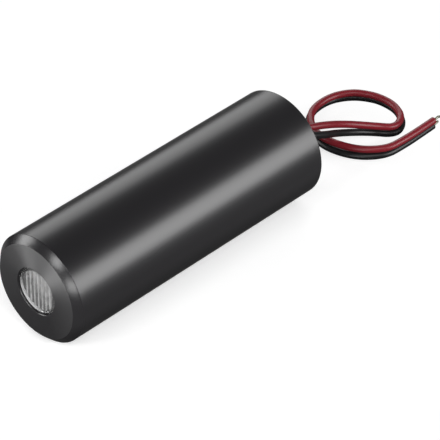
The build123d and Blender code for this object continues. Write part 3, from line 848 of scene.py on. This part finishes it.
class LASER_OT_barrel(Operator):
    """Build the turned, anodised barrel"""

    bl_idname = "laser.barrel"
    bl_label = "Barrel"

    def execute(self, context):
        size = context.scene.laser_barrel
        low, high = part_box("housing")
        front, back, radius = high.x, low.x, high.z
        bore = radius - size.wall
        shoulder = front - size.front_wall
        lens_back = front - size.lens_depth
        aperture = size.aperture / 2
        outline = [
            (front - size.aperture_edge, aperture),
            (front, aperture + size.aperture_edge),
            (front, radius - size.front_chamfer),
            (front - size.front_chamfer, radius),
            (back + size.back_edge, radius),
            (back, radius - size.back_edge),
            (back, bore + size.mouth_chamfer),
            (back + size.mouth_chamfer, bore),
            (shoulder, bore),
            (shoulder, aperture - size.lens_seat),
            (lens_back, aperture - size.lens_seat),
            (lens_back, aperture),
        ]
        bm = spun(outline, size.steps)
        round_edges(bm, size.edge_radius)
        black = anodised(size.black, size.facing_slope)
        barrel = new_object("barrel", mesh_from(bm, "barrel"), "anodised_aluminium", black, "housing")
        even_shading(barrel)
        return {"FINISHED"}


class LASER_OT_lens(Operator):
    """Mould the ribbed line lens in the aperture"""

    bl_idname = "laser.lens"
    bl_label = "Line lens"

    def execute(self, context):
        size = context.scene.laser_lens
        low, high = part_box("line_lens")
        front, back, radius = high.x, low.x, high.z
        field = radius - size.rim
        count = int(2 * field / size.pitch) + 1
        valley = front - size.height
        half = size.pitch / 2
        # Circle through both valleys and the crest of a rib
        rib_radius = (half**2 + size.height**2) / (2 * size.height)
        centre = front - rib_radius
        ribs = bmesh.new()
        start = ribs.verts.new((valley, -count * half, -radius))
        for rib in range(count):
            middle = (rib - (count - 1) / 2) * size.pitch
            swept = bmesh.ops.spin(
                ribs,
                geom=[start],
                cent=(centre, middle, -radius),
                axis=(0, 0, 1),
                angle=2 * asin(half / rib_radius),
                steps=size.steps,
            )
            start = next(item for item in swept["geom_last"] if isinstance(item, bmesh.types.BMVert))
        first = min(ribs.verts, key=lambda vert: vert.co.y)
        ends = bmesh.ops.extrude_vert_indiv(ribs, verts=[first, start])["verts"]
        # The field's back lies a little inside the rim's, which alone rests on the seat
        for vert in ends:
            vert.co.x = back + size.bevel
        ribs.edges.new(ends)
        face = bmesh.ops.contextual_create(ribs, geom=ribs.edges[:])["faces"]
        raised = bmesh.ops.extrude_face_region(ribs, geom=face)["geom"]
        bmesh.ops.translate(
            ribs,
            verts=[item for item in raised if isinstance(item, bmesh.types.BMVert)],
            vec=(0, 0, 2 * radius),
        )
        bmesh.ops.recalc_face_normals(ribs, faces=ribs.faces)
        # The ribs reach a little way into the rim, so that the two join without slivers
        reach = field + size.rim / 4
        disc = bmesh.new()
        bmesh.ops.create_cone(
            disc,
            cap_ends=True,
            segments=LENS_FACETS,
            radius1=reach,
            radius2=reach,
            depth=2 * (front - back),
            matrix=Matrix.Translation(((front + back) / 2, 0, 0)) @ Matrix.Rotation(pi / 2, 4, "Y"),
        )
        ribbed = combined(ribs, disc, "INTERSECT")
        bead_steps = 10
        bead = [
            (
                front + size.crest - size.bead * (1 - sin(pi * step / bead_steps)),
                field + size.rim / 2 * (1 - cos(pi * step / bead_steps)),
            )
            for step in range(bead_steps + 1)
        ]
        base = [(back + size.bevel, radius), (back, radius - size.bevel), (back, field)]
        rim = spun([*bead, *base], LENS_FACETS)
        bm = combined(ribbed, rim, "UNION")
        mesh = mesh_from(bm, "ribbed_lens")
        material = moulded_acrylic(size.acrylic, field, size.pitch)
        new_object("ribbed_lens", mesh, "lens_acrylic", material, "line_lens")
        return {"FINISHED"}


class LASER_OT_rear(Operator):
    """Close the back with the turned cap and its rubber grommet"""

    bl_idname = "laser.rear"
    bl_label = "Rear cap and grommet"

    def execute(self, context):
        size = context.scene.laser_rear
        barrel = context.scene.laser_barrel
        low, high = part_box("rear_cap")
        back, front, radius = low.x, high.x, high.z
        wall = back + size.wall
        neck = size.neck / 2
        cap = spun(
            [
                (back, neck),
                (back, radius - size.chamfer),
                (back + size.chamfer, radius),
                (front, radius),
                (front, radius - size.skirt),
                (wall, radius - size.skirt),
                (wall, neck),
            ],
            CAP_FACETS,
        )
        round_edges(cap, barrel.edge_radius)
        board_low, board_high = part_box("driver_board")
        slot = bmesh.new()
        bmesh.ops.create_cube(slot, size=1)
        height = board_high.z - board_low.z + 2 * size.slot_gap
        bmesh.ops.scale(slot, verts=slot.verts, vec=(2 * size.slot, 3 * radius, height))
        bmesh.ops.translate(slot, verts=slot.verts, vec=(front, 0, (board_high.z + board_low.z) / 2))
        bm = combined(cap, slot, "DIFFERENCE")
        black = anodised(barrel.black, barrel.facing_slope)
        piece = new_object("end_cap", mesh_from(bm, "end_cap"), "anodised_aluminium", black, "rear_cap")
        even_shading(piece)

        low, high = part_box("lead_grommet")
        outer, inner, flange = low.x, high.x, high.z
        bush = spun(
            [
                (outer, 0),
                (outer, flange),
                (back, flange),
                (back, neck),
                (wall, neck),
                (wall, neck + size.lip),
                (inner, neck),
                (inner, 0),
            ],
            GROMMET_FACETS,
        )
        round_edges(bush, size.grommet_edge)
        holes = bmesh.new()
        for side in (-1, 1):
            bmesh.ops.create_cone(
                holes,
                cap_ends=True,
                segments=HOLE_FACETS,
                radius1=size.hole / 2,
                radius2=size.hole / 2,
                depth=3 * (inner - outer),
                matrix=Matrix.Translation(((outer + inner) / 2, side * size.spacing / 2, 0))
                @ Matrix.Rotation(pi / 2, 4, "Y"),
            )
        bm = combined(bush, holes, "DIFFERENCE")
        piece = new_object(
            "grommet", mesh_from(bm, "grommet"), "grommet_rubber", rubber(size.rubber), "lead_grommet"
        )
        even_shading(piece)
        return {"FINISHED"}


def lead_curve(name, route, diameter):
    """NURBS curve whose control points are the lead's route."""
    curve = bpy.data.curves.new(name, "CURVE")
    curve.dimensions = "3D"
    curve.bevel_depth = diameter / 2
    curve.bevel_resolution = 8
    curve.resolution_u = 12
    curve.use_fill_caps = True
    spline = curve.splines.new("NURBS")
    spline.points.add(len(route) - 1)
    for point, place in zip(spline.points, route):
        point.co = (*(Vector(place) * MM), 1)
    spline.order_u = 3
    spline.use_endpoint_u = True
    return curve


def tinned_end(name, route, diameter, reach, bend_rise, end_rise):
    """Mesh of a bare end: six strands twisted under one solder skin, bent once on its way."""
    last = Vector(route[-1]) * MM
    onward = (Vector(route[-1]) - Vector(route[-2])).normalized()
    strands = 6
    facets_per_strand = 6
    steps = 48
    # Length of one full twist of the strands
    lay = 0.005
    # How far the strands stand out of the skin, and where and how much the tip narrows, as shares
    relief = 0.02
    narrows_at = 0.93
    narrowing = 0.45
    # Shares of the length where the bend starts, where it is done and where the last rise starts
    bend_start = 0.1
    bend_done = 0.5
    rise_start = 0.4
    rise_power = 1.2
    bm = bmesh.new()
    bmesh.ops.create_circle(bm, segments=strands * facets_per_strand, radius=diameter / 2)
    for vert in bm.verts:
        angle = Vector(vert.co.xy).angle_signed(Vector((1, 0)))
        vert.co *= 1 - relief + relief * cos(strands * angle)
    bmesh.ops.spin(
        bm,
        geom=bm.verts[:] + bm.edges[:],
        cent=(0, 0, 0),
        axis=(0, 0, 1),
        angle=2 * pi * reach / lay,
        dvec=(0, 0, reach / steps),
        steps=steps,
    )
    bmesh.ops.holes_fill(bm, edges=bm.edges)
    for vert in bm.verts:
        share = vert.co.z / reach
        blunt = 1 - narrowing * max(0, (share - narrows_at) / (1 - narrows_at)) ** 2
        vert.co.x *= blunt
        vert.co.y *= blunt
    turn = onward.to_track_quat("Z", "Y").to_matrix().to_4x4()
    bmesh.ops.transform(bm, matrix=Matrix.Translation(last) @ turn, verts=bm.verts)
    for vert in bm.verts:
        share = (vert.co - last).dot(onward) / reach
        to_bend = min(max((share - bend_start) / (bend_done - bend_start), 0), 1)
        to_end = max((share - rise_start) / (1 - rise_start), 0)
        vert.co.z += bend_rise * to_bend + (end_rise - bend_rise) * to_end**rise_power
    return mesh_from(bm, name)


class LASER_OT_leads(Operator):
    """Lay the two flying leads and their tinned ends"""

    bl_idname = "laser.leads"
    bl_label = "Leads"

    def execute(self, context):
        size = context.scene.laser_leads
        tin = tinned_copper(size.tin)
        for hue, route, side in (("red", RED_ROUTE, -1), ("black", BLACK_ROUTE, 1)):
            curve = lead_curve(f"{hue}_flying_lead", route, size.diameter)
            insulation = pvc(f"{hue.capitalize()} PVC insulation", getattr(size, hue))
            lead = new_object(f"{hue}_flying_lead", curve, f"{hue}_insulation", insulation, f"{hue}_lead")
            bare = tinned_end(
                f"{hue}_tinned_end",
                route,
                size.core,
                getattr(size, f"{hue}_tip"),
                getattr(size, f"{hue}_bend"),
                getattr(size, f"{hue}_end"),
            )
            end = new_object(f"{hue}_tinned_end", bare, "tinned_copper", tin, f"{hue}_lead_tip")
            getattr(size, f"{hue}_length")
        return {"FINISHED"}


class LASER_OT_stage(Operator):
    """Set the table, the lights and the camera"""

    bl_idname = "laser.stage"
    bl_label = "Stage"

    def execute(self, context):
        scene = context.scene
        size = scene.laser_stage
        bm = bmesh.new()
        bmesh.ops.create_grid(bm, x_segments=1, y_segments=1, size=size.reach)
        bmesh.ops.translate(bm, verts=bm.verts, vec=(0, 0, cad_low.z))
        floor_mesh = bpy.data.meshes.new("table")
        bm.to_mesh(floor_mesh)
        bm.free()
        floor = bpy.data.objects.new("table", floor_mesh)
        scene.collection.objects.link(floor)
        floor_mesh.materials.append(matt_card(size.floor))

        world = bpy.data.worlds.new("Studio")
        world.use_nodes = True
        # White where the camera or the clear lens sees it, and dim as a light
        room = world.node_tree.nodes["Background"]
        room.inputs["Color"].default_value = (1, 1, 1, 1)
        straight = straight_ray(world.node_tree)[1]
        strength = add_node(world.node_tree, "ShaderNodeMapRange", in0=straight, in3=size.room_light)
        world.node_tree.links.new(strength.outputs[0], room.inputs["Strength"])
        scene.world = world

        # Softboxes: each one's direction from the barrel, its width, height and brightness
        for name, towards, width, height, face in (
            ("right_back_softbox", (-0.454, 0.853, 0.259), 0.45, 0.3, 7.4),
            ("right_front_softbox", (0.81, 0.58, 0.14), 0.18, 0.18, 9.0),
            ("front_top_softbox", (0.8, 0.09, 0.57), 0.17, 0.17, 10.5),
            ("left_front_softbox", (0.45, -0.84, 0.36), 0.22, 0.22, 7.0),
            ("left_back_softbox", (-0.57, -0.74, 0.41), 0.6, 0.33, 2.4),
            ("front_strip", (0.98, 0.07, 0.1), 0.32, 0.12, 9.0),
            ("left_strip", (0.7, -0.7, 0.11), 0.55, 0.12, 3.6),
            ("high_right_softbox", (0.35, 0.62, 0.7), 0.4, 0.3, 3.6),
        ):
            lamp = bpy.data.lights.new(name, "AREA")
            lamp.shape = "RECTANGLE"
            lamp.size = width
            lamp.size_y = height
            lamp.energy = size.lamp_light * face * pi * width * height
            lamp_object = bpy.data.objects.new(name, lamp)
            place = Vector(towards).normalized() * size.distance
            lamp_object.location = place
            lamp_object.rotation_euler = place.to_track_quat("Z", "Y").to_euler()
            scene.collection.objects.link(lamp_object)

        camera = bpy.data.cameras.new("camera")
        camera.sensor_fit = "HORIZONTAL"
        camera.sensor_width = 36
        camera.lens = 224.76
        camera.clip_end = 10
        camera_object = bpy.data.objects.new("camera", camera)
        # Place and axes from the fit of the barrel's outline to the photograph
        place = (0.25919, 0.26481, 0.28250)
        right = (-0.69598, 0.71806, 0.0)
        up = (-0.43666, -0.42323, 0.79385)
        backward = (0.57003, 0.55250, 0.60811)
        turn = Matrix((right, up, backward)).transposed().to_4x4()
        camera_object.matrix_world = Matrix.Translation(place) @ turn
        scene.collection.objects.link(camera_object)
        scene.camera = camera_object
        scene.view_settings.view_transform = "Standard"
        return {"FINISHED"}


class LASER_PT_panel(Panel):
    """Sizes, colours and operators of the laser module"""

    bl_idname = "LASER_PT_panel"
    bl_label = "Laser module"
    bl_space_type = "VIEW_3D"
    bl_region_type = "UI"
    bl_category = "Laser module"

    def draw(self, context):
        for operator, group in (
            (LASER_OT_barrel, "laser_barrel"),
            (LASER_OT_lens, "laser_lens"),
            (LASER_OT_rear, "laser_rear"),
            (LASER_OT_leads, "laser_leads"),
            (LASER_OT_inside, "laser_inside"),
            (LASER_OT_stage, "laser_stage"),
        ):
            column = self.layout.column(align=True)
            column.operator(operator.bl_idname)
            settings = getattr(context.scene, group)
            for name in settings.__annotations__:
                column.prop(settings, name)


CLASSES = (
    BarrelSettings,
    LensSettings,
    RearSettings,
    LeadSettings,
    InsideSettings,
    StageSettings,
    LASER_OT_barrel,
    LASER_OT_lens,
    LASER_OT_rear,
    LASER_OT_leads,
    LASER_OT_inside,
    LASER_OT_stage,
    LASER_PT_panel,
)


def register():
    for cls in CLASSES:
        bpy.utils.register_class(cls)
    bpy.types.Scene.laser_barrel = PointerProperty(type=BarrelSettings)
    bpy.types.Scene.laser_lens = PointerProperty(type=LensSettings)
    bpy.types.Scene.laser_rear = PointerProperty(type=RearSettings)
    bpy.types.Scene.laser_leads = PointerProperty(type=LeadSettings)
    bpy.types.Scene.laser_inside = PointerProperty(type=InsideSettings)
    bpy.types.Scene.laser_stage = PointerProperty(type=StageSettings)


def unregister():
    del bpy.types.Scene.laser_stage
    del bpy.types.Scene.laser_inside
    del bpy.types.Scene.laser_leads
    del bpy.types.Scene.laser_rear
    del bpy.types.Scene.laser_lens
    del bpy.types.Scene.laser_barrel
    for cls in reversed(CLASSES):
        bpy.utils.unregister_class(cls)


def main():
    register()
    bpy.ops.laser.stage()
    bpy.ops.laser.barrel()
    bpy.ops.laser.lens()
    bpy.ops.laser.rear()
    bpy.ops.laser.leads()
    bpy.ops.laser.inside()


if __name__ == "__main__":
    main()
